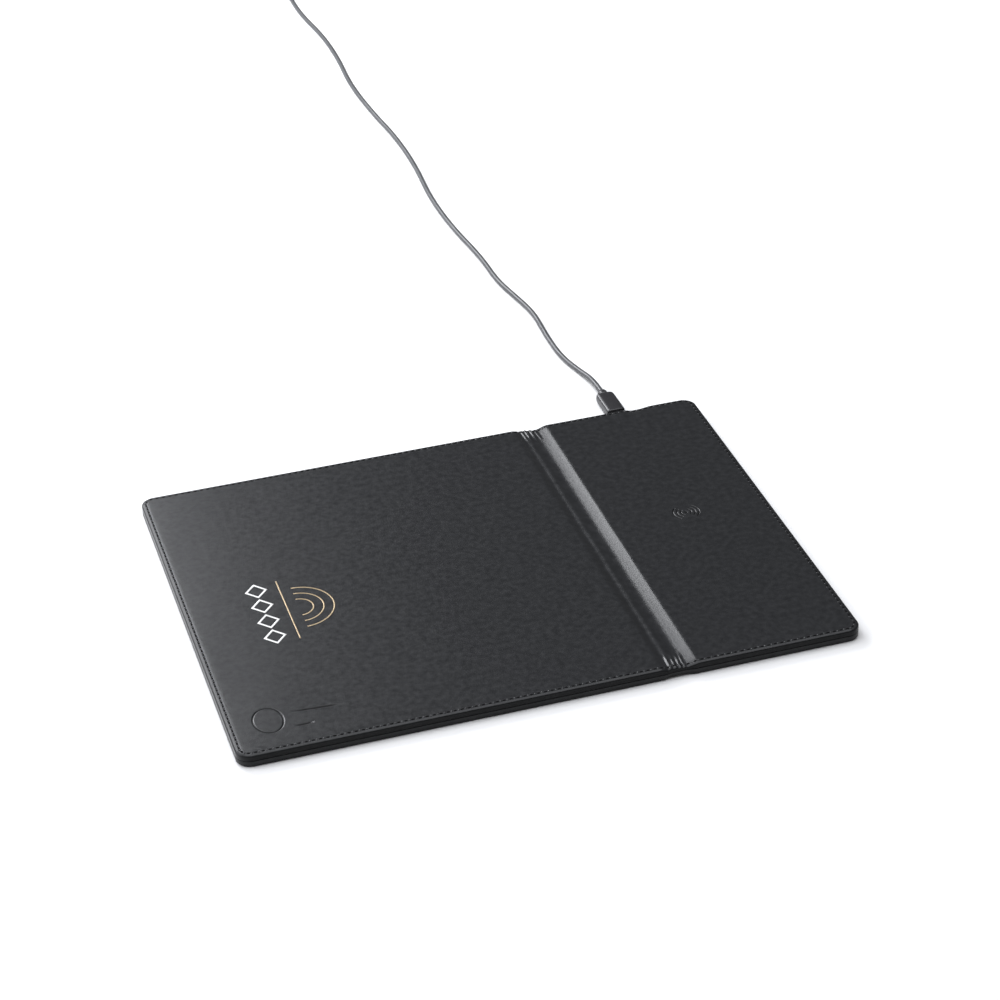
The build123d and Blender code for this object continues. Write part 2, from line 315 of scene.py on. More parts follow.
def along(table, place):
    """The height of the smooth line through a table's points."""
    place = min(max(place, table[0][0]), table[-1][0])
    index = next(i for i in range(len(table) - 1) if place <= table[i + 1][0])
    x0, y0 = table[index]
    x1, y1 = table[index + 1]
    before = table[max(index - 1, 0)]
    after = table[min(index + 2, len(table) - 1)]
    slope0 = (y1 - before[1]) / (x1 - before[0])
    slope1 = (after[1] - y0) / (after[0] - x0)
    run = x1 - x0
    t = (place - x0) / run
    hermite = ((2 * t ** 3 - 3 * t ** 2 + 1) * y0 + (3 * t ** 2 - 2 * t ** 3) * y1
               + run * ((t ** 3 - 2 * t ** 2 + t) * slope0 + (t ** 3 - t ** 2) * slope1))
    return min(max(hermite, min(y0, y1)), max(y0, y1))


def pressed(distance, half_stroke):
    """Depth of a pressed stroke with soft sides, at a distance from its middle line."""
    return mark_depth * (1 - step(half_stroke * 0.4, half_stroke * 1.5, distance))


def wireless_depth(x, y):
    """Depth of the pressed dot and arcs at a point."""
    from_mark = Vector((x - wireless_mark[0], y - wireless_mark[1]))
    depth = pressed(max(from_mark.length - wireless_dot, 0), mark_width)
    angle = abs(atan2(from_mark.y, abs(from_mark.x)))
    for radius in wireless_arcs:
        past_end = max(angle - wireless_half_angle, 0) * radius
        depth = max(depth, pressed(hypot(from_mark.length - radius, past_end), mark_width))
    return depth


def ring_depth(x, y):
    """Depth of the pressed ring at a point."""
    from_ring = hypot(x - ring_mark[0], (y - ring_mark[1]) / ring_stretch)
    return pressed(abs(from_ring - ring_radius), mark_width)


def bar_depth(x, y, start, end):
    """Depth of a pressed bar at a point; it fades out towards both ends."""
    reach = Vector(end) - Vector(start)
    from_start = Vector((x, y)) - Vector(start)
    share = min(max(from_start.dot(reach) / reach.length_squared, 0), 1)
    distance = (from_start - share * reach).length
    return pressed(distance, bar_width) * (1 - step(bar_fades, 1, abs(2 * share - 1)))


def marks_depth(x, y):
    """How deep the marks are pressed into the top at a point."""
    if x > fold_x:
        return wireless_depth(x, y)
    return max([ring_depth(x, y)] + [bar_depth(x, y, start, end) for start, end in bar_marks])


def pleats(x, y, height):
    """What the gathered ends of the channel add to a height inside it."""
    at_end = step(*channel_ends, abs(y))
    lean = pleat_lean * (1 - step(*lean_ends, abs(y)))
    added = end_fill * at_end * (2 * half_height - height) * (1 - step(*end_fill_fades, x))
    for place, rise in pleat_places[1 if y > 0 else -1]:
        added += rise * at_end * exp(-((x - place - lean) / pleat_width) ** 2)
    return added


def full_height(x, y, up):
    """How far the flat of a cover lies from the seam's plane, on the top (up = 1) or the underside (-1)."""
    if up < 0:
        return half_height - along(channel_under, x)
    wander = channel_wander * noise.noise(Vector((0, y / wander_length, wander_slice)))
    height = along(channel_top, x + wander)
    if pleat_zone[0] < x < pleat_zone[1]:
        height += pleats(x, y, height)
    from_edge = min(half_width - abs(y), x - left_x, right_x - x)
    swell = sum(size * noise.noise(Vector((x / wave, y / wave, slice_z))) for size, wave, slice_z in swells)
    over_port = exp(-((x - port_x) / port_rise_width) ** 2) * step(*port_rise_starts, y)
    return height + step(*swell_starts, from_edge) * swell + port_rise * over_port - half_height


def place_on_cover(x, y, rise, up, marked=True):
    """A point of a cover: rise is the rim profile's distance from the seam for the full thickness."""
    height = half_height + up * rise * full_height(x, y, up) / half_height
    if up > 0 and marked:
        height -= marks_depth(x, y)
    from_end = half_width - abs(y)
    pull = channel_pull_in * hump(pull_in_spans, x)
    if y > 0:
        dip = hump(dip_spans, x) * (1 - step(*dip_starts, from_end))
        pull += dip_pull_in * dip
        if up > 0:
            height -= dip_depth * dip * rise / half_height
    pull *= 1 - step(0, pull_in_reach, from_end)
    return Vector((x, y - pull if y > 0 else y + pull, height))


# The covers' grids: the widest gap between lines on the flat, on the rim, across the fold, at the dip by the
# port and at the pressed marks, and where each kind of grid begins and ends
flat_gap = 3.2
rim_gap = 1.2
fold_gap = 0.36
dip_gap = 1.6
mark_gap = 0.24
inner_y = half_width - corner_radius
end_y = 97
fold_start, fold_end = 49, 70
dip_end = 123
ring_x, ring_y = (-139, -93), (-103, -80)
wireless_x, wireless_y = (100, 115), (1, 16)
cover_sides = {
    "mouse": {
        "outer": left_x,
        "outwards": -1,
        "body": "mouse_panel",
        "x": [
            (left_x + corner_radius, ring_x[0], flat_gap), (*ring_x, mark_gap),
            (ring_x[1], fold_start, flat_gap), (fold_start, fold_x, fold_gap),
        ],
        "y": [
            (-inner_y, ring_y[0], rim_gap), (*ring_y, mark_gap),
            (ring_y[1], end_y, flat_gap), (end_y, inner_y, rim_gap),
        ],
    },
    "charger": {
        "outer": right_x,
        "outwards": 1,
        "body": "charger_panel",
        "x": [
            (fold_x, fold_end, fold_gap), (fold_end, wireless_x[0], flat_gap), (*wireless_x, mark_gap),
            (wireless_x[1], dip_end, dip_gap), (dip_end, right_x - corner_radius, flat_gap),
        ],
        "y": [
            (-inner_y, -end_y, rim_gap), (-end_y, wireless_y[0], flat_gap), (*wireless_y, mark_gap),
            (wireless_y[1], end_y, flat_gap), (end_y, inner_y, rim_gap),
        ],
    },
}


def spread(spans, up):
    """Grid lines over spans of (start, end, widest gap between lines), each span without its start.

    The underside has no pressed marks, so its lines are as wide apart there as on the rim.
    """
    lines = []
    for start, end, gap in spans:
        if up < 0 and gap == mark_gap:
            gap = rim_gap
        count = ceil((end - start) / gap)
        lines += [start + (end - start) * k / count for k in range(1, count + 1)]
    return lines


def grid_lines(side, up):
    """A cover's lines across X as (ring, place), and its lines across Y as (ring, end of the pad, place).

    A line on the rim has its ring's number and no place. The other lines have the last ring's number.
    """
    rings = list(range(rim_steps + 1))
    x_lines = [(rim_steps, x) for x in spread(cover_sides[side]["x"], up)]
    if side == "mouse":
        x_lines = [(ring, None) for ring in rings] + x_lines
    else:
        x_lines = [(rim_steps, fold_x)] + x_lines + [(ring, None) for ring in rings[-2::-1]]
    y_lines = [(ring, -1, None) for ring in rings]
    y_lines += [(rim_steps, 0, y) for y in spread(cover_sides[side]["y"], up)[:-1]]
    y_lines += [(ring, 1, None) for ring in rings[::-1]]
    return x_lines, y_lines


def grid_place(side, rim_profile, x_line, y_line):
    """A grid point's place seen from above, and how far the rim there faces the front, from 0 to 1, which
    weights the front wall's painted shade.
    """
    outer, outwards = cover_sides[side]["outer"], cover_sides[side]["outwards"]
    x_ring, x = x_line
    y_ring, end, y = y_line
    if x_ring == rim_steps or y_ring == rim_steps:
        place_x = x if x is not None else outer - outwards * rim_profile[x_ring][0]
        place_y = y if y is not None else end * (half_width - rim_profile[y_ring][0])
        return place_x, place_y, 1 if end == -1 and x_ring == rim_steps else 0
    across, lengthways = rim_steps - x_ring, rim_steps - y_ring
    angle = pi / 4 * lengthways / across if lengthways <= across else pi / 2 - pi / 4 * across / lengthways
    radius = corner_radius - rim_profile[min(x_ring, y_ring)][0]
    place_x = outer - outwards * corner_radius + outwards * radius * cos(angle)
    return place_x, end * (inner_y + radius * sin(angle)), max(-end * sin(angle), 0)


def rim_dullness_and_shade(inset, rise, facing_front, up):
    """How dull and dark the leather is on the rim: on its rounded edge, and on the top cover's front wall,
    where the darkening is painted shade.
    """
    on_wall = 1 - step(*wall_top, rise)
    on_edge = (1 - on_wall) * (1 - step(*edge_end, inset))
    if up < 0:
        return rim_matt * on_edge
    # On the top cover's front wall this value is painted shade.
    return rim_matt * on_edge * (1 - facing_front) + front_wall_painted_shade * on_wall * facing_front


def cover_grid(side, up):
    """Points, quads and dullness of one cover, with the front wall's painted shade: a grid whose outer lines
    are the rim's rings.
    """
    rim_profile = rim_profiles[up]
    x_lines, y_lines = grid_lines(side, up)
    points, dullness_and_shade = [], []
    for x_line in x_lines:
        for y_line in y_lines:
            inset, rise = rim_profile[min(x_line[0], y_line[0])]
            x, y, facing_front = grid_place(side, rim_profile, x_line, y_line)
            points.append(place_on_cover(x, y, rise, up))
            point_dullness_and_shade = rim_dullness_and_shade(inset, rise, facing_front, up)
            if up > 0:
                point_dullness_and_shade = max(point_dullness_and_shade, marks_depth(x, y) / mark_depth)
            dullness_and_shade.append(point_dullness_and_shade)
    rows = len(y_lines)
    faces = []
    for i in range(len(x_lines) - 1):
        for j in range(rows - 1):
            corner = i * rows + j
            quad = (corner, corner + rows, corner + rows + 1, corner + 1)
            faces.append(quad if up > 0 else quad[::-1])
    return points, faces, dullness_and_shade


def mesh_object(name, points, faces, *materials):
    """A smooth-shaded mesh from points in millimetres."""
    mesh = bpy.data.meshes.new(name)
    mesh.from_pydata([Vector(point) * MM for point in points], [], faces)
    mesh.polygons.foreach_set("use_smooth", [True] * len(faces))
    obj = bpy.data.objects.new(name, mesh)
    bpy.context.collection.objects.link(obj)
    for material in materials:
        mesh.materials.append(material)
    return obj


def bake_modifiers(obj):
    """Replaces the mesh by what its modifiers make of it."""
    evaluated = obj.evaluated_get(bpy.context.evaluated_depsgraph_get())
    mesh = bpy.data.meshes.new_from_object(evaluated)
    obj.modifiers.clear()
    obj.data = mesh


def thicken(obj, thickness, offset):
    """Gives a sheet a thickness in millimetres: below it with an offset of -1, on both sides with 0."""
    layer = obj.modifiers.new("thickness", "SOLIDIFY")
    layer.thickness = thickness * MM
    layer.offset = offset
    bake_modifiers(obj)


def bend_with_fold(obj):
    """Bakes the piece's place into its mesh."""
    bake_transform(obj)


def near_port(point, margin, wall_depth):
    """Whether a mesh point in metres lies on the back wall at the port, with a margin at its sides."""
    beside = abs(point.x / MM - port_x)
    return beside < port_half_wide + margin and point.y / MM > half_width - wall_depth


def open_port(obj):
    """Cuts the charging port's half from a cover's back wall, and turns the cut edge inwards."""
    cut = bmesh.new()
    cut.from_mesh(obj.data)
    wall = [face for face in cut.faces if near_port(face.calc_center_median(), margin=0, wall_depth=1)
            and abs(face.calc_center_median().z / MM - half_height) < port_half_high]
    bmesh.ops.delete(cut, geom=wall, context="FACES")
    rim = [edge for edge in cut.edges
           if edge.is_boundary and all(near_port(v.co, margin=0.3, wall_depth=0.9) for v in edge.verts)]
    turned = bmesh.ops.extrude_edge_only(cut, edges=rim)
    for vertex in (item for item in turned["geom"] if isinstance(item, bmesh.types.BMVert)):
        vertex.co.y -= port_lip * MM
    cut.normal_update()
    cut.to_mesh(obj.data)
    cut.free()


def make_cover(side, up, material):
    """One leather cover with its rim, fold and marks, as a sheet of real thickness."""
    kind = "top" if up > 0 else "bottom"
    points, faces, dullness_and_shade = cover_grid(side, up)
    cover = mesh_object(f"{side}_{kind}_leather", points, faces, material)
    # The pressed attribute darkens and dulls the leather: in the marks, on the rim's edge, and on the front
    # wall, where it is painted shade.
    cover.data.attributes.new("pressed", "FLOAT", "POINT").data.foreach_set("value", dullness_and_shade)
    if side == "charger":
        open_port(cover)
    thicken(cover, leather_thickness, -1)
    cover.data.set_sharp_from_angle(angle=radians(50))
    bend_with_fold(cover)
    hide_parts(f"{side}_{kind}_cover", f"fold_strip_{kind}")


# Stitching round the whole pad, one stitch after another in the rim's groove. A stitch and the leather that
# stands up between two have half sizes along the seam, across it and upwards, and ends that dip
stitch_pitch = 3.3
stitch_shape = (1.05, 0.52, 0.26)
stitch_sink = 0.3
bridge_shape = (0.5, 0.7, 0.26)
bridge_sink = 0.2


def stitch_places():
    """The middle and heading of each stitch, anticlockwise round the outline from the front left corner."""
    radius = corner_radius - stitch_inset
    x_run = right_x - left_x - 2 * corner_radius
    y_run = 2 * half_width - 2 * corner_radius
    quarter = pi / 2 * radius
    round_trip = 2 * (x_run + y_run) + 4 * quarter
    count = round(round_trip / stitch_pitch)
    places = []
    for index in range(count):
        left = (index + 0.5) * round_trip / count
        corner = Vector((left_x + corner_radius, -half_width + corner_radius))
        heading = 0.0
        for run in (x_run, y_run, x_run, y_run):
            direction = Vector((cos(heading), sin(heading)))
            outside = Vector((direction.y, -direction.x))
            if left <= run:
                places.append((corner + direction * left + outside * radius, heading))
                break
            left -= run
            corner = corner + direction * run
            if left <= quarter:
                turn = left / radius
                bent = Vector((cos(heading + turn), sin(heading + turn)))
                places.append((corner + Vector((bent.y, -bent.x)) * radius, heading + turn))
                break
            left -= quarter
            heading += pi / 2
    return places


def tube_faces(rings, around):
    """Quads between rings of points, and a face over the first ring and over the last."""
    faces = []
    for ring in range(rings - 1):
        for k in range(around):
            a = ring * around + k
            b = ring * around + (k + 1) % around
            faces.append((a, b, b + around, a + around))
    faces.append(tuple(range(around))[::-1])
    faces.append(tuple(range((rings - 1) * around, rings * around)))
    return faces


def capsule(middle, heading, shape, sink, up):
    """Points and faces of a rounded body in the stitched groove; shape holds its half sizes."""
    half_length, half_across, half_up = shape
    direction = Vector((cos(heading), sin(heading)))
    across = Vector((direction.y, -direction.x))
    around, stations = 10, 9
    least_slim = 0.08
    dip_power = 2.5
    points = []
    for station in range(stations):
        share = 2 * station / (stations - 1) - 1
        slim = max(1 - share ** 4, least_slim) ** 0.5
        spot = middle + direction * half_length * share
        base = place_on_cover(spot.x, spot.y, stitch_floor, up, marked=False)
        base.z -= up * sink * abs(share) ** dip_power
        for k in range(around):
            angle = 2 * pi * k / around
            sideways = across * half_across * slim * cos(angle)
            points.append(base + Vector((sideways.x, sideways.y, half_up * slim * sin(angle))))
    return points, tube_faces(stations, around)


def make_stitching(side, stitch_material, bridge_material):
    """The stitches of one panel on both faces, and the leather that stands up between them."""
    mine = [place for place in stitch_places() if (place[0].x < fold_x) == (side == "mouse")]
    points, faces, kinds = [], [], []
    for up in (1, -1):
        for middle, heading in mine:
            next_gap = Vector((cos(heading), sin(heading))) * stitch_pitch / 2
            bodies = [
                capsule(middle, heading, stitch_shape, stitch_sink, up),
                capsule(middle + next_gap, heading, bridge_shape, bridge_sink, up),
            ]
            for kind, (body_points, body_faces) in enumerate(bodies):
                faces += [tuple(len(points) + k for k in face) for face in body_faces]
                points += body_points
                kinds += [kind] * len(body_faces)
    stitching = mesh_object(f"{side}_stitches", points, faces, stitch_material, bridge_material)
    stitching.data.polygons.foreach_set("material_index", kinds)
    bend_with_fold(stitching)
    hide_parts(f"{side}_stitching")


def film(name, strips, material):
    """A printed mark of closed or open bands between two rows of points, on the mouse panel's leather."""
    points, faces = [], []
    for outer, inner, closed in strips:
        first = len(points)
        count = len(outer)
        for x, y in outer + inner:
            points.append(place_on_cover(x, y, half_height, 1) + Vector((0, 0, print_lift)))
        for k in range(count if closed else count - 1):
            after = (k + 1) % count
            faces.append((first + k, first + after, first + count + after, first + count + k))
    mark = mesh_object(name, points, faces, material)
    thicken(mark, print_thickness, 0)
    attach(mark, "mouse_panel")


def diamond(middle, half_x, half_y):
    """Points round a diamond, with its straight sides divided."""
    corners = [(half_x, 0), (0, half_y), (-half_x, 0), (0, -half_y)]
    parts = 6
    points = []
    for (x0, y0), (x1, y1) in zip(corners, corners[1:] + corners[:1]):
        for k in range(parts):
            points.append((middle[0] + x0 + (x1 - x0) * k / parts, middle[1] + y0 + (y1 - y0) * k / parts))
    return points


def half_circle(middle, radius):
    """Points of the half circle on the +X side."""
    parts = 24
    angles = [pi * (k / parts - 0.5) for k in range(parts + 1)]
    return [(middle[0] + radius * cos(angle), middle[1] + radius * sin(angle)) for angle in angles]


def gold_line():
    """The two edges of the straight gold line, with a point each millimetre, as an open band."""
    line_x = print_middle[0] + gold_line_column
    line_ys = [print_middle[1] - gold_line_half_length + k for k in range(int(2 * gold_line_half_length) + 1)]
    edges = [[(line_x + side * gold_line_half_width, y) for y in line_ys] for side in (1, -1)]
    return (*edges, False)


def make_material(name, colour, roughness, **sockets):
    """A Principled material; the other sockets are named in lower case with underscores."""
    material = bpy.data.materials.new(name)
    material.use_nodes = True
    shader = material.node_tree.nodes["Principled BSDF"]
    shader.inputs["Base Color"].default_value = (*colour, 1)
    shader.inputs["Roughness"].default_value = roughness
    for socket, value in sockets.items():
        shader.inputs[socket.replace("_", " ").title().replace("Ior", "IOR")].default_value = value
    return material


def add(material, kind, **settings):
    """A node of that kind with its settings."""
    node = material.node_tree.nodes.new(kind)
    for name, value in settings.items():
        setattr(node, name, value)
    return node


def noise_texture(material, scale, detail=3.0, stretch=(1, 1, 1)):
    """A noise texture in object coordinates, scale in features per metre; gives its factor."""
    links = material.node_tree.links
    coordinates = add(material, "ShaderNodeTexCoord")
    mapping = add(material, "ShaderNodeMapping")
    mapping.inputs["Scale"].default_value = stretch
    texture = add(material, "ShaderNodeTexNoise")
    texture.inputs["Scale"].default_value = scale
    texture.inputs["Detail"].default_value = detail
    links.new(coordinates.outputs["Object"], mapping.inputs["Vector"])
    links.new(mapping.outputs["Vector"], texture.inputs["Vector"])
    return texture.outputs["Fac"]


# Most of a noise texture's factor lies between these
noise_low, noise_high = 0.3, 0.7
tint_low, tint_high = 0.32, 0.68


def vary(material, factor, low, high, socket):
    """Drives a socket of the shader from a noise's factor, from low to high."""
    shader = material.node_tree.nodes["Principled BSDF"]
    spread_out = add(material, "ShaderNodeMapRange")
    spread_out.inputs["From Min"].default_value = noise_low
    spread_out.inputs["From Max"].default_value = noise_high
    spread_out.inputs["To Min"].default_value = low
    spread_out.inputs["To Max"].default_value = high
    material.node_tree.links.new(factor, spread_out.inputs["Value"])
    material.node_tree.links.new(spread_out.outputs["Result"], shader.inputs[socket])


def tint(material, factor, dark, light):
    """Colours the shader from dark to light along a noise's factor."""
    shader = material.node_tree.nodes["Principled BSDF"]
    ramp = add(material, "ShaderNodeValToRGB")
    ramp.color_ramp.elements[0].position = tint_low
    ramp.color_ramp.elements[0].color = (*dark, 1)
    ramp.color_ramp.elements[1].position = tint_high
    ramp.color_ramp.elements[1].color = (*light, 1)
    material.node_tree.links.new(factor, ramp.inputs["Fac"])
    material.node_tree.links.new(ramp.outputs["Color"], shader.inputs["Base Color"])


def bump(material, heights, distance):
    """Bumps from one or more (height, strength) pairs, laid one on another."""
    shader = material.node_tree.nodes["Principled BSDF"]
    links = material.node_tree.links
    below = None
    for height, strength in heights:
        node = add(material, "ShaderNodeBump")
        node.inputs["Strength"].default_value = strength
        node.inputs["Distance"].default_value = distance
        links.new(height, node.inputs["Height"])
        if below is not None:
            links.new(below.outputs["Normal"], node.inputs["Normal"])
        below = node
    links.new(below.outputs["Normal"], shader.inputs["Normal"])


def dull_where_pressed_or_shaded(material):
    """Makes the leather darker and duller where it is pressed: in the marks and along the rim; on the top
    cover's front wall the same darkening is painted shade.
    """
    links = material.node_tree.links
    shader = material.node_tree.nodes["Principled BSDF"]
    colour = shader.inputs["Base Color"]
    pressed_or_shaded_share = add(material, "ShaderNodeAttribute", attribute_name="pressed")
    for name, change in (("Roughness", 0.32), ("Specular IOR Level", -0.12)):
        socket = shader.inputs[name]
        duller = add(material, "ShaderNodeMath", operation="MULTIPLY_ADD")
        duller.inputs[1].default_value = change
        links.new(pressed_or_shaded_share.outputs["Fac"], duller.inputs[0])
        links.new(socket.links[0].from_socket, duller.inputs[2])
        links.new(duller.outputs["Value"], socket)
    # The dark colour mixed in where pressed; on the front wall it is painted shade.
    mix = add(material, "ShaderNodeMixRGB")
    mix.inputs["Color2"].default_value = (0.0025, 0.0027, 0.003, 1)
    links.new(colour.links[0].from_socket, mix.inputs["Color1"])
    links.new(pressed_or_shaded_share.outputs["Fac"], mix.inputs["Fac"])
    links.new(mix.outputs["Color"], colour)


def leather(name, dark, light, roughness, grain_scale):
    """Smooth PU leather: fine pebbles and soft patches, and a slight mottle in its colour and gloss."""
    material = make_material(name, dark, roughness, specular_ior_level=0.2, coat_weight=0.2,
                             coat_roughness=0.16)
    patches = noise_texture(material, 150, 2.0)
    mottle = noise_texture(material, 330, 4.0)
    fine = noise_texture(material, 600, 3.0)
    pebbles = add(material, "ShaderNodeTexVoronoi", feature="SMOOTH_F1")
    pebbles.inputs["Scale"].default_value = grain_scale
    pebbles.inputs["Smoothness"].default_value = 0.6
    coordinates = add(material, "ShaderNodeTexCoord")
    material.node_tree.links.new(coordinates.outputs["Object"], pebbles.inputs["Vector"])
    tint(material, mottle, dark, light)
    vary(material, mottle, roughness - 0.05, roughness + 0.05, "Roughness")
    vary(material, mottle, 0.17, 0.23, "Specular IOR Level")
    dull_where_pressed_or_shaded(material)
    bump(material, [(pebbles.outputs["Distance"], 0.25), (fine, 0.22), (patches, 0.05)], 0.00012)
    return material


def moulded(name, colour, roughness, scale=2600, depth=0.00003):
    """Moulded plastic or rubber with a fine spark-eroded skin."""
    light = [min(1, c * 1.25 + 0.002) for c in colour]
    material = make_material(name, colour, roughness)
    skin = noise_texture(material, scale, 2.0)
    tint(material, noise_texture(material, 160, 2.0), colour, light)
    vary(material, skin, roughness - 0.06, roughness + 0.06, "Roughness")
    bump(material, [(skin, 0.5)], depth)
    return material


def metal(name, colour, roughness, stretch):
    """Plated metal with fine brushing along one way."""
    material = make_material(name, colour, roughness, metallic=1.0)
    lines = noise_texture(material, 700, 3.0, stretch)
    vary(material, lines, roughness - 0.03, roughness + 0.04, "Roughness")
    bump(material, [(lines, 0.05)], 0.00001)
    return material


def loft(name, sections, start, forwards, material):
    """A moulded body through sections of (distance, half width, half height, squareness) along its way."""
    across = Vector((forwards.y, -forwards.x, 0))
    around = 32
    points = []
    for distance, half_wide, half_high, power in sections:
        for k in range(around):
            angle = 2 * pi * (k + 0.5) / around
            wide = copysign(abs(cos(angle)) ** (2 / power), cos(angle)) * half_wide
            high = copysign(abs(sin(angle)) ** (2 / power), sin(angle)) * half_high
            points.append(start + forwards * distance + across * wide + Vector((0, 0, high)))
    body = mesh_object(name, points, tube_faces(len(sections), around), material)
    skin = bmesh.new()
    skin.from_mesh(body.data)
    bmesh.ops.recalc_face_normals(skin, faces=skin.faces)
    skin.to_mesh(body.data)
    skin.free()
    smooth = body.modifiers.new("smooth", "SUBSURF")
    smooth.levels = 2
    smooth.render_levels = 2
    bake_modifiers(body)
    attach(body, "cable")
    return body


def node_box(name):
    """A frame node's corners in millimetres."""
    low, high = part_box(name)
    return low / MM, high / MM


def make_plug(plastic, jacket):
    """The moulded plug at the port and its short neck."""
    low, high = node_box("plug_overmould")
    neck_low, neck_high = node_box("plug_strain_relief")
    middle = (low + high) / 2
    wide, long, tall = (high - low) / 2
    front = Vector((middle.x, low.y, middle.z))
    backwards = Vector((0, 1, 0))
    sections = [
        (0.0, wide * 0.72, tall * 0.66, 4.0), (0.05, wide * 0.9, tall * 0.86, 4.2),
        (0.5, wide * 0.985, tall * 0.98, 4.4), (1.4, wide, tall, 4.4), (7.0, wide, tall, 4.4),
        (2 * long - 3.2, wide * 0.99, tall * 0.985, 4.4), (2 * long - 1.5, wide * 0.98, tall * 0.97, 4.2),
        (2 * long - 0.7, wide * 0.94, tall * 0.94, 4.0), (2 * long - 0.2, wide * 0.84, tall * 0.84, 3.6),
        (2 * long, wide * 0.66, tall * 0.64, 3.0),
    ]
    body = loft("plug_body", sections, front, backwards, plastic)
    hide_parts("plug_overmould")
    reach = neck_high.y - neck_low.y
    collar = [
        (-0.6, 2.8, 2.6, 2.3), (0.6, 2.78, 2.55, 2.3), (2.8, 2.7, 2.45, 2.2), (3.7, 2.52, 2.3, 2),
        (4.2, 2.2, 2.05, 2), (4.45, 1.7, 1.7, 2), (4.7, 1.58, 1.58, 2), (reach - 0.3, 1.55, 1.55, 2),
        (reach + 0.3, 1.5, 1.5, 2),
    ]
    jacket_start = 4.55
    neck = loft("plug_neck", collar, Vector((middle.x, neck_low.y, middle.z)), backwards, plastic)
    neck.data.materials.append(jacket)
    for face in neck.data.polygons:
        face.material_index = int(face.center.y > (neck_low.y + jacket_start) * MM)
    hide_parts("plug_strain_relief")
    return [body, neck]


def ribbed_neck(base, end, reach, ribs):
    """Sections of a round strain relief with shallow rings moulded round it."""
    sections = [(-0.6, base * 0.98, base * 0.98, 2)]
    width = reach / ribs
    for rib in range(ribs):
        radius = base + (end - base) * rib / ribs
        for share, slimmer in ((0.12, 1), (0.62, 0.99), (0.76, 0.86), (0.92, 0.86)):
            sections.append(((rib + share) * width, radius * slimmer, radius * slimmer, 2))
    sections += [(reach - 0.35, end * 0.97, end * 0.97, 2), (reach, end * 0.8, end * 0.8, 2)]
    return sections


def make_far_plug(plastic):
    """The USB-A plug's grip and neck beside the put-away coil."""
    low, high = node_box("usb_a_overmould")
    neck_low, neck_high = node_box("usb_a_strain_relief")
    middle = (low + high) / 2
    wide = (high.y - low.y) / 2
    tall = (high.z - low.z) / 2
    long = high.x - low.x
    forwards = Vector((1, 0, 0))
    sections = [
        (0.0, wide * 0.45, tall * 0.6, 2.6), (0.3, wide * 0.62, tall * 0.78, 3.0),
        (1.6, wide * 0.84, tall * 0.9, 3.4), (4.0, wide * 0.93, tall * 0.96, 3.8),
        (7.0, wide * 0.9, tall * 0.92, 3.8), (13.0, wide * 0.92, tall * 0.94, 3.8),
        (16.0, wide * 0.99, tall * 0.99, 4.2), (long - 1.0, wide, tall, 4.4),
        (long - 0.2, wide * 0.96, tall * 0.95, 4.2), (long, wide * 0.86, tall * 0.82, 4.0),
    ]
    body = loft("far_plug_body", sections, Vector((low.x, middle.y, middle.z)), forwards, plastic)
    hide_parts("usb_a_overmould")
    base_radius, end_radius, ribs = (neck_high.z - neck_low.z) / 2, 2.1, 4
    neck_sections = ribbed_neck(base_radius, end_radius, neck_high.x - neck_low.x, ribs)
    neck = loft("far_plug_neck", neck_sections, Vector((neck_high.x, middle.y, middle.z)), -forwards, plastic)
    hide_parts("usb_a_strain_relief")
    return [body, neck]


def make_tie(plastic):
    """A plain strap with rounded corners round the coil's band: a flat section along a closed line."""
    low, high = node_box("cable_tie")
    middle = (low + high) / 2
    inset = 0.3
    half_x = (high.x - low.x) / 2 - inset
    half_z = (high.z - low.z) / 2 - inset
    line = bpy.data.curves.new("tie_line", "CURVE")
    line.dimensions = "3D"
    loop = line.splines.new("NURBS")
    corners = [(-1, -1), (1, -1), (1, 1), (-1, 1)]
    controls = []
    for (x0, z0), (x1, z1) in zip(corners, corners[1:] + corners[:1]):
        controls += [(x0 + (x1 - x0) * share, z0 + (z1 - z0) * share) for share in (0, 0.12, 0.5, 0.88)]
    loop.points.add(len(controls) - 1)
    for control, (x, z) in zip(loop.points, controls):
        control.co = ((middle.x + x * half_x) * MM, middle.y * MM, (middle.z + z * half_z) * MM, 1)
    loop.order_u = 3
    loop.use_cyclic_u = True
    section = bpy.data.curves.new("tie_section", "CURVE")
    section.dimensions = "2D"
    outline = section.splines.new("NURBS")
    half_band, half_wall = 2.4, 0.28
    shape = [(y * half_band, x * half_wall) for x, y in
             ((-1, -0.9), (-0.6, -1), (0.6, -1), (1, -0.9), (1, 0.9), (0.6, 1), (-0.6, 1), (-1, 0.9))]
    outline.points.add(len(shape) - 1)
    for control, (x, y) in zip(outline.points, shape):
        control.co = (x * MM, y * MM, 0, 1)
    outline.order_u = 3
    outline.use_cyclic_u = True
    section_object = bpy.data.objects.new("tie_section", section)
    bpy.context.collection.objects.link(section_object)
    line.bevel_mode = "OBJECT"
    line.bevel_object = section_object
    strap_curve = bpy.data.objects.new("tie_curve", line)
    bpy.context.collection.objects.link(strap_curve)
    bpy.context.view_layer.update()
    mesh = bpy.data.meshes.new_from_object(strap_curve.evaluated_get(bpy.context.evaluated_depsgraph_get()))
    bpy.data.objects.remove(strap_curve)
    bpy.data.objects.remove(section_object)
    strap = bpy.data.objects.new("tie_strap", mesh)
    bpy.context.collection.objects.link(strap)
    mesh.materials.clear()
    mesh.materials.append(plastic)
    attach(strap, "cable")
    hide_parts("cable_tie")
    return strap


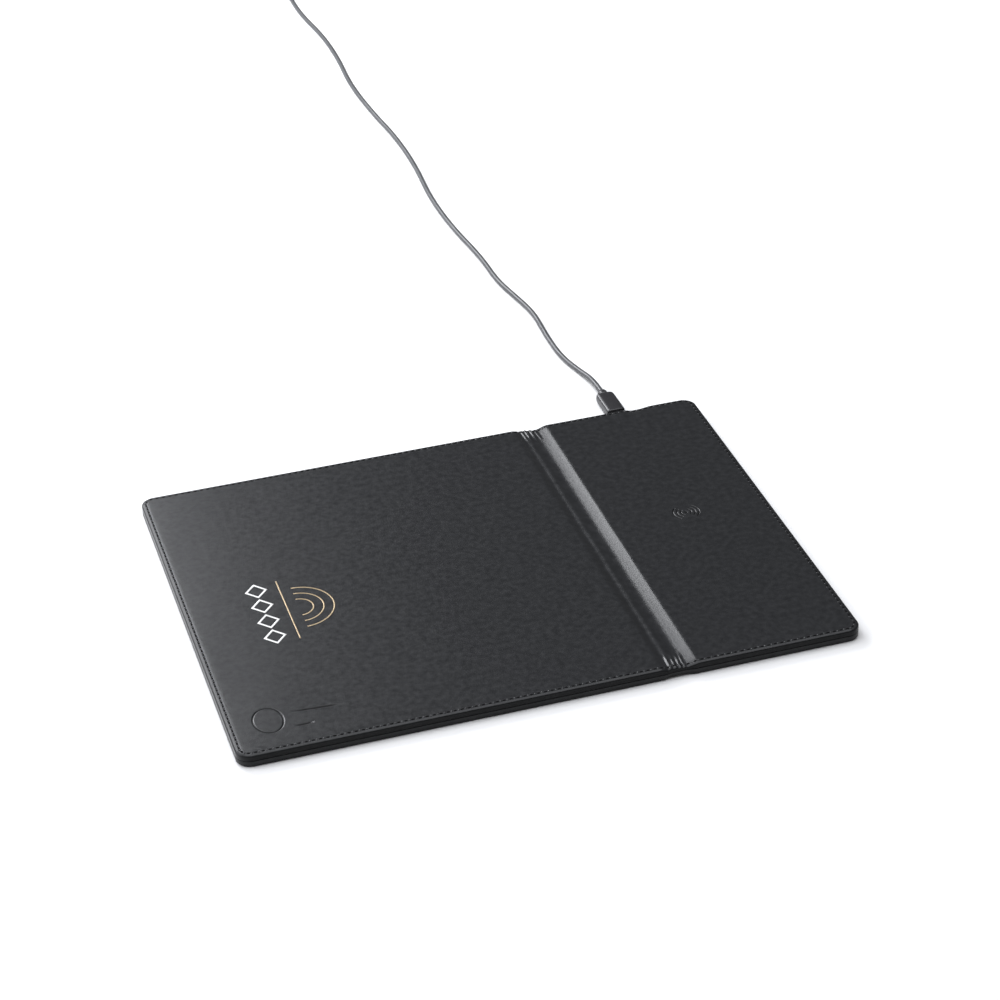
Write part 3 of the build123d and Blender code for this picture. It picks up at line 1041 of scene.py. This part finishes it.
# Materials
cover_leather = leather("cover_leather", (0.0125, 0.0131, 0.0144), (0.0157, 0.0164, 0.0181), 0.34, 2300)
base_leather = leather("base_leather", (0.0040, 0.0044, 0.0050), (0.0055, 0.0060, 0.0066), 0.35, 1700)
thread = moulded("thread", (0.0025, 0.0025, 0.0028), 0.85, 4000, 0.00006)
thread.node_tree.nodes["Principled BSDF"].inputs["Specular IOR Level"].default_value = 0.1
white_print = moulded("white_print", (0.78, 0.78, 0.77), 0.45)
gold_print = make_material("gold_print", (0.40, 0.31, 0.19), 0.38, metallic=0.6)
vary(gold_print, noise_texture(gold_print, 1500), 0.3, 0.45, "Roughness")
plug_plastic = moulded("plug_plastic", (0.013, 0.0125, 0.0145), 0.36)
cord_rubber = moulded("cord_rubber", (0.055, 0.056, 0.060), 0.38, 1200, 0.00004)
tie_plastic = moulded("tie_plastic", (0.02, 0.02, 0.021), 0.4)
steel = metal("steel", (0.62, 0.62, 0.63), 0.28, (1, 1, 14))
inner_materials = {
    "foam": moulded("foam", (0.16, 0.16, 0.17), 0.95, 1500, 0.0004),
    "stiffener_board": moulded("stiffener_board", (0.30, 0.25, 0.19), 0.9, 500, 0.0002),
    "tray_plastic": moulded("tray_plastic", (0.06, 0.06, 0.065), 0.55),
    "ferrite": moulded("ferrite", (0.05, 0.05, 0.055), 0.5, 900, 0.00005),
    "adhesive": moulded("adhesive", (0.7, 0.66, 0.52), 0.4),
    "copper_wire": metal("copper_wire", (0.72, 0.34, 0.17), 0.32, (1, 1, 1)),
    "sensor_resin": moulded("sensor_resin", (0.03, 0.03, 0.03), 0.25),
    "board_laminate": moulded("board_laminate", (0.02, 0.13, 0.05), 0.35),
    "chip_resin": moulded("chip_resin", (0.02, 0.02, 0.02), 0.5),
    "capacitor_body": moulded("capacitor_body", (0.42, 0.33, 0.24), 0.45),
    "contact_steel": steel,
    "contact_plastic": moulded("contact_plastic", (0.015, 0.015, 0.015), 0.4),
    "usb_a_plastic": moulded("usb_a_plastic", (0.72, 0.72, 0.72), 0.35),
}
for part in frame["record"]["subparts"]:
    kept = frame["nodes"][part["node"]]
    if part["material_slot"] in inner_materials:
        kept.data.materials.clear()
        kept.data.materials.append(inner_materials[part["material_slot"]])

# Pad
for side in ("mouse", "charger"):
    make_cover(side, 1, cover_leather)
    make_cover(side, -1, base_leather)
    make_stitching(side, thread, cover_leather)

# Printed mark
white_bands = []
for row in diamond_rows:
    middle = (print_middle[0] + diamond_column, print_middle[1] + row)
    white_bands.append((diamond(middle, *diamond_outside), diamond(middle, *diamond_inside), True))
film("print_diamonds", white_bands, white_print)

gold_bands = [gold_line()]
centre = (print_middle[0] + half_circle_column, print_middle[1])
for radius in half_circle_radii:
    edges = [half_circle(centre, radius + side * half_circle_half_width) for side in (1, -1)]
    gold_bands.append((*edges, False))
film("print_lines", gold_bands, gold_print)

# Cable and what is on it
on_cable = make_plug(plug_plastic, cord_rubber) + make_far_plug(plug_plastic) + [make_tie(tie_plastic)]
make_cord(cord_rubber)


def make_floor():
    """A wide pale floor under the pad."""
    mesh = bpy.data.meshes.new("floor")
    mesh.from_pydata([(-6, -6, 0), (6, -6, 0), (6, 9, 0), (-6, 9, 0)], [], [(0, 1, 2, 3)])
    floor = bpy.data.objects.new("floor", mesh)
    bpy.context.collection.objects.link(floor)
    mesh.materials.append(make_material("floor", (0.93, 0.93, 0.93), 0.9, specular_ior_level=0.1))


def soft_box(name, place, aim, size, watts):
    """A soft light of (width, height) aimed at a point."""
    data = bpy.data.lights.new(name, "AREA")
    data.shape = "RECTANGLE"
    data.size, data.size_y = size
    data.energy = watts
    data.color = (0.95, 0.965, 1.0)
    light = bpy.data.objects.new(name, data)
    bpy.context.collection.objects.link(light)
    light.location = place
    light.rotation_euler = (Vector(aim) - Vector(place)).to_track_quat("-Z", "Y").to_euler()


def make_studio():
    """Soft light from the left and from above, in a pale room."""
    world = bpy.data.worlds.new("studio")
    bpy.context.scene.world = world
    world.use_nodes = True
    background = world.node_tree.nodes["Background"]
    background.inputs["Color"].default_value = (1, 1, 1, 1)
    background.inputs["Strength"].default_value = 0.14
    soft_box("key_box", (-0.44, 1.36, 0.89), (-0.05, 0, 0), (0.8, 0.7), 22)
    soft_box("left_box", (-1.6, 0.35, 0.9), (0, 0, 0), (1.6, 1.2), 22)
    soft_box("top_box", (0.05, 0.3, 2.2), (0, 0, 0), (2.4, 2.4), 46)
    bpy.context.scene.view_settings.view_transform = "Standard"


make_floor()
make_studio()
